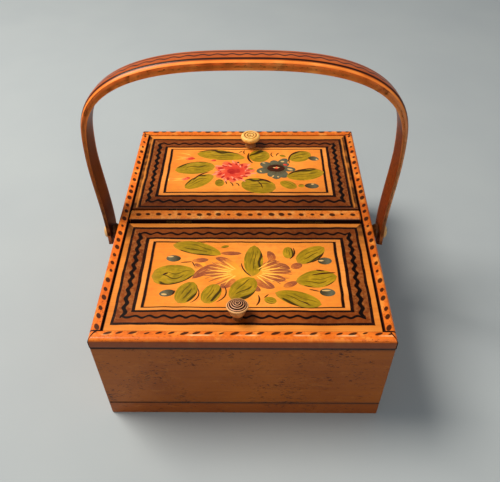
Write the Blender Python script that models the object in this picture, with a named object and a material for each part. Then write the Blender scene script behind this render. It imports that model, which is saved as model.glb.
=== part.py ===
"""Painted wooden sewing box with two flap lids, a bentwood swing handle and two lift-out trays.

Metres, +Z up, +X to the right, front of the box towards -Y.
The origin is the centre of the underside, on the surface that the box stands on.
"""
import math

import bmesh
import bpy
from mathutils import Matrix

# ---------------------------------------------------------------- driving sizes
WIDTH = 0.200            # across the side rails
DEPTH = 0.243            # front rail to rear rail
HEIGHT = 0.093           # underside to the top of the rails
GAP = 0.0003             # between pieces that touch
EASE = 0.0006            # softened arris of a planed edge

BASE_T = 0.0150          # thick base board
WALL_T = 0.0070          # side, front and rear boards
WALL_TOP = 0.0838        # top edge of the boards

RAIL_W = 0.0076          # moulding round the top
RAIL_ROUND = 0.0026      # its rounded outer arris
RAIL_Z = WALL_TOP + GAP
MITRE_X = 0.0042         # how far the corner mitre reaches in across X
MITRE_GAP = 0.0005       # between a lid's rail and the side rails

BAR_HALF = 0.0055        # fixed bar between the lids
BAR_TOP = HEIGHT + 0.0005
PARTITION_HALF = 0.0040

HINGE_Y = 0.00725        # lid hinge axis, each side of the middle
HINGE_Z = 0.0912
LID_EDGE_Y = 0.0090      # lid's edge beside the bar
LID_HALF = WIDTH / 2 - 0.0075 - 0.0006
LID_BOTTOM = 0.0860
LID_TOP = 0.0920
HINGE_X = 0.052          # butt hinges, each side of the middle
HINGE_LEN = 0.020
KNUCKLE_R = 0.0014
HINGE_PIN_R = 0.0006
LEAF_T = 0.0008
LEAF_DROP = 0.0048

PIVOT_Z = 0.0755         # handle pivots, on the box's middle line
PIN_R = 0.0023
BUTTON_R = 0.0058
BUTTON_T = 0.0030
COLLAR_R = 0.0062
HANDLE_LEAN = math.radians(9.9)   # towards the rear
LEG_X = 0.1118           # outside of a leg at its pivot
BOW_X = 0.1180           # outside of the bow at its widest
BOW_H = 0.0800           # height of the widest place over the pivots
BOW_TOP = 0.1430         # outside of the bow at the top
BOW_POWER = 2.68         # how square the arch is
STRAP_W = 0.0240
STRAP_LEG_T = 0.0040
STRAP_TOP_T = 0.0068

BEARER = 0.0050          # square strips that the trays rest on
BEARER_TOP = 0.0500
TRAY_HALF_X = 0.0915
TRAY_NEAR_Y = 0.0100     # tray's side nearest the middle
TRAY_FAR_Y = 0.1130
TRAY_FLOOR_T = 0.0030
TRAY_SIDE_T = 0.0040
TRAY_TOP = 0.0815
DIVIDER_T = 0.0030
DIVIDER_DROP = 0.0040    # dividers stand this much lower than the tray's sides
SLOT_LEN = 0.0300        # finger slot in the grip divider
SLOT_R = 0.0065
SLOT_DROP = 0.0125       # its centre under the tray's top
SLOT_PLACE = 0.72        # its place along the divider, from the near side

# ---------------------------------------------------------------- start clean
for old in list(bpy.data.objects):
    bpy.data.objects.remove(old, do_unlink=True)


def material(name, colour, roughness, metallic=0.0):
    mat = bpy.data.materials.new(name)
    mat.use_nodes = True
    shader = mat.node_tree.nodes["Principled BSDF"]
    shader.inputs["Base Color"].default_value = (*colour, 1.0)
    shader.inputs["Roughness"].default_value = roughness
    shader.inputs["Metallic"].default_value = metallic
    return mat


VARNISHED = material("varnished_wood", (0.68, 0.26, 0.07), 0.35)
PAINTED = material("painted_lid", (0.78, 0.36, 0.09), 0.32)
BENT = material("handle_wood", (0.60, 0.21, 0.06), 0.35)
PLAIN = material("inside_wood", (0.62, 0.42, 0.22), 0.60)
BONE = material("bone", (0.86, 0.66, 0.36), 0.40)
TURNED = material("turned_wood", (0.60, 0.33, 0.14), 0.42)
BRASS = material("brass", (0.60, 0.42, 0.14), 0.35, 1.0)


# ---------------------------------------------------------------- builders
def empty(name, location, rotation=(0.0, 0.0, 0.0)):
    """A joint's axis, which the moving pieces hang from."""
    axis = bpy.data.objects.new(name, None)
    axis.location = location
    axis.rotation_euler = rotation
    bpy.context.collection.objects.link(axis)
    return axis


def add(name, bm, mat, location=(0.0, 0.0, 0.0), parent=None, smooth=False):
    """An object from a bmesh; its location is in the world's directions, seen from its parent."""
    bmesh.ops.recalc_face_normals(bm, faces=bm.faces)
    mesh = bpy.data.meshes.new(name)
    bm.to_mesh(mesh)
    bm.free()
    if smooth:
        mesh.shade_smooth()
        mesh.set_sharp_from_angle(angle=math.radians(40))
    mesh.materials.append(mat)
    piece = bpy.data.objects.new(name, mesh)
    bpy.context.collection.objects.link(piece)
    piece.location = location
    if parent:
        piece.parent = parent
        piece.location = [a - b for a, b in zip(location, parent.location)]
    return piece


def soften(piece, width=EASE, segments=1):
    """A planed arris."""
    bevel = piece.modifiers.new("arris", "BEVEL")
    bevel.width = width
    bevel.segments = segments
    bevel.limit_method = "ANGLE"
    bevel.angle_limit = math.radians(50)
    return piece


def board(name, x, y, z, mat, parent=None, ease=EASE):
    """A square-cut board between the given limits along each axis."""
    bm = bmesh.new()
    bmesh.ops.create_cube(bm, size=1.0)
    size = [hi - lo for lo, hi in (x, y, z)]
    bmesh.ops.scale(bm, vec=size, verts=bm.verts)
    centre = [(lo + hi) / 2 for lo, hi in (x, y, z)]
    piece = add(name, bm, mat, centre, parent)
    return soften(piece, ease) if ease else piece


def span(side, near, far):
    """Limits along Y for a piece of the front (-1) or rear (+1) half."""
    return tuple(sorted((side * near, side * far)))


def lathe(profile, segments=24):
    """A closed turned form round +Z, from (radius, height) points that start and end on the axis."""
    bm = bmesh.new()
    rings = []
    for radius, height in profile:
        if radius == 0:
            rings.append([bm.verts.new((0, 0, height))])
        else:
            rings.append([
                bm.verts.new((radius * math.cos(a), radius * math.sin(a), height))
                for a in (2 * math.pi * k / segments for k in range(segments))
            ])
    for low, high in zip(rings, rings[1:]):
        for k in range(segments):
            ring = [low[k % len(low)], low[(k + 1) % len(low)], high[(k + 1) % len(high)], high[k % len(high)]]
            corners = list(dict.fromkeys(ring))
            bm.faces.new(corners)
    return bm


def arc(centre_r, centre_z, radius, start, end, steps):
    """Points of a circular stretch of a turned profile; angles in degrees from +r."""
    return [
        (centre_r + radius * math.cos(math.radians(a)), centre_z + radius * math.sin(math.radians(a)))
        for a in (start + (end - start) * k / steps for k in range(steps + 1))
    ]


def rod(radius, low, high, segments):
    """A solid cylinder along X between two places."""
    bm = bmesh.new()
    bmesh.ops.create_cone(bm, cap_ends=True, segments=segments, radius1=radius, radius2=radius, depth=high - low)
    bmesh.ops.rotate(bm, verts=bm.verts, matrix=Matrix.Rotation(math.pi / 2, 3, "Y"))
    bmesh.ops.translate(bm, vec=((low + high) / 2, 0, 0), verts=bm.verts)
    return bm


def combine(piece, name, bm, centre, operation):
    """Cut a form out of a piece, or join it on; the form itself isn't part of the model."""
    tool = add(name, bm, PLAIN, centre)
    tool.hide_render = True
    tool.display_type = "WIRE"
    step = piece.modifiers.new(name, "BOOLEAN")
    step.object = tool
    step.operation = operation


def drill(piece, radius, length, centre):
    """A round hole along X through a piece."""
    name = f"{piece.name}_hole_{'left' if centre[0] < 0 else 'right'}"
    combine(piece, name, rod(radius, -length / 2, length / 2, 20), centre, "DIFFERENCE")


# ---------------------------------------------------------------- carcase
HALF_W, HALF_D = WIDTH / 2, DEPTH / 2
WALL_Z = (BASE_T + GAP, WALL_TOP)
INSIDE_X = HALF_W - WALL_T
INSIDE_Y = HALF_D - WALL_T

board("base_board", (-HALF_W, HALF_W), (-HALF_D, HALF_D), (0, BASE_T), VARNISHED)
for side, end in ((-1, "front"), (1, "rear")):
    board(f"{end}_wall", (-HALF_W, HALF_W), span(side, INSIDE_Y, HALF_D), WALL_Z, VARNISHED)
board("centre_partition", (-INSIDE_X + GAP, INSIDE_X - GAP), (-PARTITION_HALF, PARTITION_HALF), WALL_Z, PLAIN)
for side, hand in ((-1, "left"), (1, "right")):
    wall = board(
        f"{hand}_wall", tuple(sorted((side * INSIDE_X, side * HALF_W))),
        (-INSIDE_Y + GAP, INSIDE_Y - GAP), WALL_Z, VARNISHED,
    )
    drill(wall, PIN_R + GAP, 3 * WALL_T, (side * (HALF_W - WALL_T / 2), 0, PIVOT_Z))
    for half, end in ((-1, "front"), (1, "rear")):
        board(
            f"{end}_{hand}_tray_bearer",
            tuple(sorted((side * (INSIDE_X - GAP), side * (INSIDE_X - GAP - BEARER)))),
            span(half, PARTITION_HALF + GAP, INSIDE_Y - GAP),
            (BEARER_TOP - BEARER, BEARER_TOP), PLAIN,
        )


# ---------------------------------------------------------------- moulded rails and centre bar
def rail_profile():
    """Section of the moulding: 0 at its outer face, RAIL_W inside, with a rounded outer arris."""
    rounding = arc(RAIL_ROUND, HEIGHT - RAIL_ROUND, RAIL_ROUND, 180, 90, 4)
    top = [(MITRE_X, HEIGHT), (RAIL_W - EASE, HEIGHT), (RAIL_W, HEIGHT - EASE)]
    return rounding + top + [(RAIL_W, RAIL_Z), (MITRE_X, RAIL_Z), (0.0, RAIL_Z)]


def mitre(inset):
    """How far a side rail stops short of the box's end, at a distance in from its outer face."""
    return min(inset / MITRE_X, 1.0) * RAIL_W


def rail_solid(section, place, reach_low, reach_high):
    """A rail from its section; place() puts (inset, along, height) in space."""
    bm = bmesh.new()
    low = [bm.verts.new(place(inset, reach_low(inset), z)) for inset, z in section]
    high = [bm.verts.new(place(inset, reach_high(inset), z)) for inset, z in section]
    count = len(section)
    for k in range(count):
        bm.faces.new((low[k], low[(k + 1) % count], high[(k + 1) % count], high[k]))
    top = next(k for k, (inset, z) in enumerate(section) if inset == MITRE_X and z == HEIGHT)
    foot = next(k for k, (inset, z) in enumerate(section) if inset == MITRE_X and z == RAIL_Z)
    for ring in (low, high):
        bm.faces.new(ring[top:foot + 1])
        bm.faces.new(ring[foot:] + ring[:top + 1])
    return bm


for side, hand in ((-1, "left"), (1, "right")):
    add(f"{hand}_top_rail", rail_solid(
        rail_profile(),
        lambda inset, along, z, side=side: (side * (HALF_W - inset), along, z),
        lambda inset: -HALF_D + mitre(inset),
        lambda inset: HALF_D - mitre(inset),
    ), VARNISHED)

board(
    "centre_bar", (-LID_HALF, LID_HALF), (-BAR_HALF, BAR_HALF),
    (RAIL_Z, BAR_TOP), VARNISHED, ease=0.0012,
)


# ---------------------------------------------------------------- turned knobs
def front_knob_profile():
    """Cup-shaped body, a narrow neck and a domed head with a thin rim."""
    rim_r, rim_z, rim_half = 0.0075, 0.0088, 0.0008
    head_r, dome = 0.0062, 0.0020
    cup = arc(0.0022, 0.0050, 0.0044, -50, 28, 4)
    rim = [(rim_r - rim_half, rim_z - rim_half), (rim_r, rim_z), (rim_r - rim_half, rim_z + rim_half)]
    head = [
        (r, rim_z + rim_half + dome * (1 - (r / head_r) ** 2)) for r in (head_r, 0.0046, 0.0030, 0.0015, 0.0)
    ]
    return [(0.0, 0.0), (0.0033, 0.0), (0.0034, 0.0008)] + cup + [(0.0052, 0.0077)] + rim + head


def rear_knob_profile():
    """Thick round-edged disc on a flared stem."""
    head_r, head_z, edge = 0.0088, 0.0096, 0.0020
    return [(0.0, 0.0), (0.0052, 0.0), (0.0050, 0.0010), (0.0038, 0.0024), (0.0038, 0.0050), (0.0048, 0.0072)] + \
        arc(head_r - edge, head_z, edge, -80, 80, 6) + \
        [(0.0062, head_z + 0.0016), (0.0030, head_z + 0.0018), (0.0012, head_z + 0.0016), (0.0, head_z + 0.0010)]


KNOBS = {
    "front": (front_knob_profile, -0.0034, 0.1015, math.radians(-10), TURNED),
    "rear": (rear_knob_profile, 0.0036, 0.0975, 0.0, BONE),
}


# ---------------------------------------------------------------- butt hinges
def leaf(name, side, x, barrels, sockets, plate_side, parent=None):
    """One leaf: a plate with sockets for the other leaf's knuckles, its own knuckles, and the pin's bore."""
    centre = (x, side * HINGE_Y, HINGE_Z)
    plate = bmesh.new()
    bmesh.ops.create_cube(plate, size=1.0)
    bmesh.ops.scale(plate, vec=(HINGE_LEN, LEAF_T, LEAF_DROP), verts=plate.verts)
    plate_y = side * plate_side * (KNUCKLE_R - LEAF_T / 2)
    bmesh.ops.translate(plate, vec=(0, plate_y, -LEAF_DROP / 2), verts=plate.verts)
    piece = add(name, plate, BRASS, centre, parent)
    wide = 2 * (KNUCKLE_R + GAP)
    for k, (low, high) in enumerate(sockets):
        socket = bmesh.new()
        bmesh.ops.create_cube(socket, size=1.0)
        bmesh.ops.scale(socket, vec=(high - low + 2 * GAP, wide, wide), verts=socket.verts)
        bmesh.ops.translate(socket, vec=((low + high) / 2, 0, 0), verts=socket.verts)
        combine(piece, f"{name}_socket_{k}", socket, centre, "DIFFERENCE")
    for k, (low, high) in enumerate(barrels):
        combine(piece, f"{name}_knuckle_{k}", rod(KNUCKLE_R, low, high, 16), centre, "UNION")
    bore = rod(HINGE_PIN_R + GAP, -HINGE_LEN, HINGE_LEN, 12)
    combine(piece, f"{name}_bore", bore, centre, "DIFFERENCE")


# ---------------------------------------------------------------- lids
for side, end in ((-1, "front"), (1, "rear")):
    hinge_axis = empty(f"{end}_lid_axis", (0, side * HINGE_Y, HINGE_Z))
    board(
        f"{end}_lid_board", (-LID_HALF, LID_HALF),
        span(side, LID_EDGE_Y, HALF_D - RAIL_W - GAP), (LID_BOTTOM, LID_TOP), PAINTED, hinge_axis, ease=0.0004,
    )
    rail_end = HALF_W - MITRE_X - MITRE_GAP
    add(f"{end}_lid_rail", rail_solid(
        rail_profile(),
        lambda inset, along, z, side=side: (along, side * (HALF_D - inset), z),
        lambda inset: -rail_end - MITRE_X * (1 - inset / RAIL_W),
        lambda inset: rail_end + MITRE_X * (1 - inset / RAIL_W),
    ), VARNISHED, parent=hinge_axis)
    profile, knob_x, knob_y, tilt, knob_mat = KNOBS[end]
    foot = 0.0034 * abs(math.sin(tilt)) + GAP
    knob = add(f"{end}_knob", lathe(profile()), knob_mat, (knob_x, side * knob_y, LID_TOP + foot), hinge_axis, True)
    knob.rotation_euler = (tilt, 0, 0)

    sixth = HINGE_LEN / 6
    outer_knuckles = [(-3 * sixth, -sixth - GAP), (sixth + GAP, 3 * sixth)]
    middle_knuckle = [(-sixth + GAP, sixth - GAP)]
    for hinge_x, hand in ((-HINGE_X, "left"), (HINGE_X, "right")):
        leaf(f"{end}_{hand}_fixed_leaf", side, hinge_x, outer_knuckles, [(-sixth, sixth)], -1)
        leaf(f"{end}_{hand}_lid_leaf", side, hinge_x, middle_knuckle,
             [(-3 * sixth, -sixth), (sixth, 3 * sixth)], 1, hinge_axis)
        add(f"{end}_{hand}_hinge_pin", rod(HINGE_PIN_R, -HINGE_LEN / 2, HINGE_LEN / 2, 12), BRASS,
            (hinge_x, side * HINGE_Y, HINGE_Z))


# ---------------------------------------------------------------- handle
def outline(count_leg=9, count_arch=17):
    """Right half of the bow's outside line, from the pivot height up to the top, as (x, height)."""
    leg = []
    for k in range(count_leg):
        h = BOW_H * k / count_leg
        ease = (h / BOW_H) ** 2 * (3 - 2 * h / BOW_H)
        leg.append((LEG_X + (BOW_X - LEG_X) * ease, h))
    arch = []
    for k in range(count_arch):
        a = math.pi / 2 * k / (count_arch - 1)
        arch.append((
            BOW_X * abs(math.cos(a)) ** (2 / BOW_POWER) if k < count_arch - 1 else 0.0,
            BOW_H + (BOW_TOP - BOW_H) * math.sin(a) ** (2 / BOW_POWER),
        ))
    return leg + arch


def strap():
    """The bent strap: one section at each place along the bow, rounded off at both ends."""
    half = outline()
    tips = [(LEG_X, -STRAP_W / 2 * math.sin(math.radians(a))) for a in (80, 65, 48, 30, 14)]
    right = tips + half
    line = right + [(-x, h) for x, h in reversed(right[:-1])]
    bm = bmesh.new()
    rings = []
    for k, (x, h) in enumerate(line):
        before, after = line[max(k - 1, 0)], line[min(k + 1, len(line) - 1)]
        run = (after[0] - before[0], after[1] - before[1])
        length = math.hypot(*run)
        inward = (-run[1] / length, run[0] / length)
        if h <= 0:
            inward = (-math.copysign(1.0, x), 0.0)
            thick = STRAP_LEG_T
            half_w = math.sqrt(max((STRAP_W / 2) ** 2 - h * h, 0.0))
        else:
            rise = min(max((h - BOW_H * 0.6) / (BOW_TOP - BOW_H * 0.6), 0.0), 1.0)
            thick = STRAP_LEG_T + (STRAP_TOP_T - STRAP_LEG_T) * rise
            half_w = STRAP_W / 2
        cut = min(0.0009, half_w * 0.4)
        section = [
            (half_w - cut, 0.0), (half_w, cut), (half_w, thick - cut), (half_w - cut, thick),
            (-half_w + cut, thick), (-half_w, thick - cut), (-half_w, cut), (-half_w + cut, 0.0),
        ]
        rings.append([bm.verts.new((x + inward[0] * t, w, h + inward[1] * t)) for w, t in section])
    for low, high in zip(rings, rings[1:]):
        for k in range(8):
            bm.faces.new((low[k], low[(k + 1) % 8], high[(k + 1) % 8], high[k]))
    bm.faces.new(rings[0])
    bm.faces.new(rings[-1])
    return bm


handle_axis = empty("handle_axis", (0, 0, PIVOT_Z), (-HANDLE_LEAN, 0, 0))
bow = add("handle_bow", strap(), BENT, (0, 0, PIVOT_Z), handle_axis, True)
for side in (-1, 1):
    drill(bow, PIN_R + GAP, 3 * STRAP_LEG_T, (side * (LEG_X - STRAP_LEG_T / 2), 0, PIVOT_Z))

for side, hand in ((-1, "left"), (1, "right")):
    turn = Matrix.Rotation(side * math.pi / 2, 3, "Y")
    shank_in = WALL_T + (LEG_X - HALF_W) + GAP
    button = [(0.0, -shank_in), (PIN_R, -shank_in), (PIN_R, 0.0), (BUTTON_R - 0.0006, 0.0), (BUTTON_R, 0.0008)] + [
        (BUTTON_R * math.cos(math.radians(a)), 0.0008 + (BUTTON_T - 0.0008) * math.sin(math.radians(a)))
        for a in (25, 50, 72)
    ] + [(0.0, BUTTON_T)]
    bm = lathe(button)
    bmesh.ops.rotate(bm, verts=bm.verts, matrix=turn)
    add(f"{hand}_pivot_button", bm, BONE, (side * (LEG_X + GAP), 0, PIVOT_Z), smooth=True)

    gap_len = LEG_X - STRAP_LEG_T - HALF_W - 2 * GAP
    inner, outer = PIN_R + GAP, COLLAR_R
    bm = bmesh.new()
    ring_profile = [
        (inner, 0.0), (outer, 0.0), (outer, gap_len * 0.25), (outer - 0.0012, gap_len * 0.5),
        (outer, gap_len * 0.75), (outer, gap_len), (inner, gap_len),
    ]
    segments = 24
    rings = [
        [bm.verts.new((r * math.cos(a), r * math.sin(a), z)) for r, z in ring_profile]
        for a in (2 * math.pi * k / segments for k in range(segments))
    ]
    for k in range(segments):
        a, b = rings[k], rings[(k + 1) % segments]
        for j in range(len(ring_profile)):
            m = (j + 1) % len(ring_profile)
            bm.faces.new((a[j], b[j], b[m], a[m]))
    bmesh.ops.rotate(bm, verts=bm.verts, matrix=turn)
    add(f"{hand}_pivot_collar", bm, BONE, (side * (HALF_W + GAP), 0, PIVOT_Z), smooth=True)


# ---------------------------------------------------------------- trays
for side, end in ((-1, "front"), (1, "rear")):
    floor_z = BEARER_TOP + GAP
    wall_z = (floor_z + TRAY_FLOOR_T + GAP, TRAY_TOP)
    tray_axis = empty(f"{end}_tray_axis", (0, side * (TRAY_NEAR_Y + TRAY_FAR_Y) / 2, floor_z))
    near_in, far_in = TRAY_NEAR_Y + TRAY_SIDE_T, TRAY_FAR_Y - TRAY_SIDE_T
    inner_x = TRAY_HALF_X - TRAY_SIDE_T
    board(f"{end}_tray_floor", (-TRAY_HALF_X, TRAY_HALF_X), span(side, TRAY_NEAR_Y, TRAY_FAR_Y),
          (floor_z, floor_z + TRAY_FLOOR_T), PLAIN, tray_axis)
    board(f"{end}_tray_near_side", (-TRAY_HALF_X, TRAY_HALF_X), span(side, TRAY_NEAR_Y, near_in), wall_z,
          PLAIN, tray_axis)
    board(f"{end}_tray_far_side", (-TRAY_HALF_X, TRAY_HALF_X), span(side, far_in, TRAY_FAR_Y), wall_z,
          PLAIN, tray_axis)
    for hand_side, hand in ((-1, "left"), (1, "right")):
        board(f"{end}_tray_{hand}_side", tuple(sorted((hand_side * inner_x, hand_side * TRAY_HALF_X))),
              span(side, near_in + GAP, far_in - GAP), wall_z, PLAIN, tray_axis)
        cell_y = near_in + (far_in - near_in) * (0.5 if hand_side == side else 0.36)
        board(f"{end}_tray_{hand}_divider",
              tuple(sorted((hand_side * (DIVIDER_T / 2 + GAP), hand_side * (inner_x - GAP)))),
              span(side, cell_y - DIVIDER_T / 2, cell_y + DIVIDER_T / 2), (wall_z[0], TRAY_TOP - DIVIDER_DROP),
              PLAIN, tray_axis)
    grip = board(f"{end}_tray_grip_divider", (-DIVIDER_T / 2, DIVIDER_T / 2),
                 span(side, near_in + GAP, far_in - GAP), wall_z, PLAIN, tray_axis)
    slot = rod(SLOT_R, -2 * DIVIDER_T, 2 * DIVIDER_T, 24)
    for vert in slot.verts:
        if abs(vert.co.y) > SLOT_R / 100:
            vert.co.y += math.copysign(SLOT_LEN / 2 - SLOT_R, vert.co.y)
    slot_y = side * (near_in + (far_in - near_in) * SLOT_PLACE)
    combine(grip, f"{end}_tray_finger_slot", slot, (0, slot_y, TRAY_TOP - SLOT_DROP), "DIFFERENCE")
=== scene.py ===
"""Painted wooden sewing box with two flap lids, a bentwood swing handle and two lift-out trays.

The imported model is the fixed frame; everything here is in metres in that frame.
"""
import math
from functools import partial

import bpy
from mathutils import Matrix, Vector


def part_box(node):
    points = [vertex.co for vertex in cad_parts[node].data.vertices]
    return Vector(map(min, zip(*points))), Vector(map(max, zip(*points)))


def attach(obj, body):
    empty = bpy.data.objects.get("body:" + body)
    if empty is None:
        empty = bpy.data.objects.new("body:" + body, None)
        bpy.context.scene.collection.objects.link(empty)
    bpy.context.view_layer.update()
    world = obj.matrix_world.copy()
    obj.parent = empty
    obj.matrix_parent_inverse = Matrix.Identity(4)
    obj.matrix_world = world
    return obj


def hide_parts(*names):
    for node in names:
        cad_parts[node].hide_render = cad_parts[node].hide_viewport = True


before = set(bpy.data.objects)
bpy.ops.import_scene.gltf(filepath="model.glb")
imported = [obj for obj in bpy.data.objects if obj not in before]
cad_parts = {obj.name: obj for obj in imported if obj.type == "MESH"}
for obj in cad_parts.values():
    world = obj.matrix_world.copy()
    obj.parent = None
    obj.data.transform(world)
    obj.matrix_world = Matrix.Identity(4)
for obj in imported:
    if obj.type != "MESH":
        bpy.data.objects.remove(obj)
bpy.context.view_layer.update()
bpy.ops.object.select_all(action="DESELECT")
MM = 0.001

# ------------------------------------------------------------------ camera
# A short lens over the front end of the box, looking down at about forty-five degrees.
camera_data = bpy.data.cameras.new("camera")
camera_data.sensor_width = 36.0
camera_data.lens = 39.5
camera = bpy.data.objects.new("camera", camera_data)
heading, pitch, roll = math.radians(0.90), math.radians(45.71), math.radians(-0.52)
camera.rotation_euler = (
    Matrix.Rotation(heading, 3, "Z") @ Matrix.Rotation(pitch, 3, "X") @ Matrix.Rotation(roll, 3, "Z")
).to_euler()
camera.location = (0.0089, -0.3281, 0.3837)
bpy.context.scene.collection.objects.link(camera)
bpy.context.scene.camera = camera
bpy.context.scene.view_settings.view_transform = "Standard"


# ------------------------------------------------------------------ floor and light
# A pale sheet to stand on, a broad warm light high behind the box on its left and a weak one in
# front, so the lids are bright, the front end is in shade and the shadow falls forward.
def linear(hex_colour):
    """An sRGB hex colour as linear RGBA."""
    def channel(text):
        value = int(text, 16) / 255
        return value / 12.92 if value <= 0.04045 else ((value + 0.055) / 1.055) ** 2.4
    return (*(channel(hex_colour[k:k + 2]) for k in (1, 3, 5)), 1.0)


def add_node(tree, kind, *inputs, stops=(), **settings):
    """A shader node with its settings, a ramp's stops as (place, hex) pairs, and its inputs: values or
    sockets for its live inputs in turn, or (name, value) pairs. Gives its first live output."""
    node = tree.nodes.new("ShaderNode" + kind)
    for key, value in settings.items():
        setattr(node, key, value)
    for _ in stops[2:]:
        node.color_ramp.elements.new(1.0)
    for element, (place, colour) in zip(node.color_ramp.elements if stops else (), stops):
        element.position = place
        element.color = linear(colour)
    live = [socket for socket in node.inputs if socket.enabled]
    for socket, value in zip(live, inputs):
        if isinstance(value, tuple) and isinstance(value[0], str):
            socket, value = node.inputs[value[0]], value[1]
        if isinstance(value, bpy.types.NodeSocket):
            tree.links.new(value, socket)
        else:
            socket.default_value = value
    return next(socket for socket in node.outputs if socket.enabled)


def finish_material(colour, roughness, bump_height=None, bump_mm=0.05, **sockets):
    """Ends a material: a Principled shader on the given tree sockets, with a bump where there is one."""
    tree = colour.id_data
    shader = tree.nodes["Principled BSDF"]
    tree.links.new(colour, shader.inputs["Base Color"])
    if isinstance(roughness, bpy.types.NodeSocket):
        tree.links.new(roughness, shader.inputs["Roughness"])
    else:
        shader.inputs["Roughness"].default_value = roughness
    for key, value in {"Specular_IOR_Level": 0.16, **sockets}.items():
        shader.inputs[key.replace("_", " ")].default_value = value
    if bump_height is not None:
        bump = add_node(tree, "Bump", ("Height", bump_height), ("Distance", bump_mm * MM))
        tree.links.new(bump, shader.inputs["Normal"])


def new_material(name):
    """A material, and add_node for its own tree."""
    material = bpy.data.materials.new(name)
    material.use_nodes = True
    return material, partial(add_node, material.node_tree)


floor_material, add = new_material("pale_paper_backdrop")
here = add("TexCoord").node.outputs["Object"]
fibre = add("TexNoise", here, ("Scale", 9.0), ("Detail", 4.0))
finish_material(add("ValToRGB", fibre, stops=[(0.3, "#A6B2BB"), (0.7, "#AAB6BE")]), 0.85)
bpy.ops.mesh.primitive_plane_add(size=8.0, location=(0, 0, 0))
floor = bpy.context.object
floor.name = "floor"
floor.data.materials.append(floor_material)

world = bpy.data.worlds.new("room")
bpy.context.scene.world = world
world.use_nodes = True
world.node_tree.nodes["Background"].inputs["Color"].default_value = linear("#DDE6EE")
world.node_tree.nodes["Background"].inputs["Strength"].default_value = 0.20

for name, place, size, power in (
    ("soft_key", (-0.80, 0.24, 1.35), 0.7, 29.5),
    ("front_fill", (0.10, -1.60, 1.50), 1.2, 12.0),
):
    lamp_data = bpy.data.lights.new(name, "AREA")
    lamp_data.size = size
    lamp_data.energy = power
    lamp_data.color = linear("#FFF1E0")[:3]
    lamp = bpy.data.objects.new(name, lamp_data)
    lamp.location = place
    lamp.rotation_euler = (Vector(place) - Vector((0, 0, 0.08))).to_track_quat("Z", "Y").to_euler()
    bpy.context.scene.collection.objects.link(lamp)


# ------------------------------------------------------------------ carcase: base board, end and side boards
# Planed softwood boards, glued and pinned, under an old amber shellac varnish: brown at the
# front, speckled with pits and bruises, darker along the joints (partly dirt, partly painted
# shade), and bare wood inside.
def laid_over(colour, paint, mask, *shares):
    """A colour with a paint (hex or socket) laid over it where the mask, times any shares of it, is 1."""
    add = partial(add_node, colour.id_data)
    for share in shares:
        mask = add("Math", mask, share, operation="MULTIPLY")
    return add("Mix", mask, colour, linear(paint) if isinstance(paint, str) else paint, data_type="RGBA")


def apart(add, value, centre):
    """How far a value is from a centre, on either side."""
    return add("Math", add("Math", value, centre, operation="SUBTRACT"), operation="ABSOLUTE")


def place_of(add):
    """The Object coordinate and its x, y and z."""
    here = add("TexCoord").node.outputs["Object"]
    return (here, *add("SeparateXYZ", here).node.outputs)


def stretched_noise(add, vector, sizes_mm, detail=3.0, rough=0.5, turn=(0, 0, 0)):
    """Noise whose marks measure about the given millimetres along x, y and z."""
    spread = add("Mapping", vector, ("Rotation", turn), ("Scale", [size * MM for size in sizes_mm]),
                 vector_type="TEXTURE")
    return add("TexNoise", spread, ("Scale", 1.0), ("Detail", detail), ("Roughness", rough))


def wood_tone(add, here, along, dark, light):
    """Straight softwood grain seen through varnish, running along one axis."""
    sizes = [2.2, 2.2, 2.2]
    sizes["xyz".index(along)] = 60.0
    grain = stretched_noise(add, here, sizes, 4.0, 0.6)
    cloud = stretched_noise(add, here, (38, 38, 38), 2.0)
    both = add("Math", cloud, 0.55, add("Math", grain, 0.45, operation="MULTIPLY"), operation="MULTIPLY_ADD")
    return add("ValToRGB", both, stops=[(0.30, dark), (0.70, light)]), grain


def worn_specks(add, here, along, amount):
    """Pits, bruises and short scratches: 1 where the varnish is marked."""
    dots = stretched_noise(add, here, (1.5, 1.5, 1.5), 2.0, 0.7)
    patches = stretched_noise(add, here, (21, 21, 21), 2.0)
    dashes_mm = [0.9, 0.9, 0.9]
    dashes_mm["xyz".index(along)] = 4.6
    for degrees in (14, -18):
        turn = (math.radians(degrees), 0, 0) if along == "y" else (0, math.radians(degrees), 0)
        dashes = stretched_noise(add, here, dashes_mm, 1.0, turn=turn)
        dots = add("Math", dots, dashes, operation="MAXIMUM")
    marked = add("Math", patches, 0.35, dots, operation="MULTIPLY_ADD")
    return add("MapRange", marked, 0.94 - amount, 0.96 - amount)


def plain_inside(add, here, x, y, z, low_z):
    """Bare planed wood, and a mask that is 1 inside the box's hollow."""
    ax, ay = add("Math", x, operation="ABSOLUTE"), add("Math", y, operation="ABSOLUTE")
    between_sides = add("MapRange", ax, 93.7 * MM, 93.4 * MM)
    between_ends = add("MapRange", ay, 115.0 * MM, 114.7 * MM)
    inside = add("Math", between_sides, between_ends, operation="MINIMUM")
    inside = add("Math", inside, add("MapRange", z, low_z, low_z + 0.1 * MM), operation="MINIMUM")
    bare, _ = wood_tone(add, here, "y", "#8A6238", "#B98B57")
    return bare, inside


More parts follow.
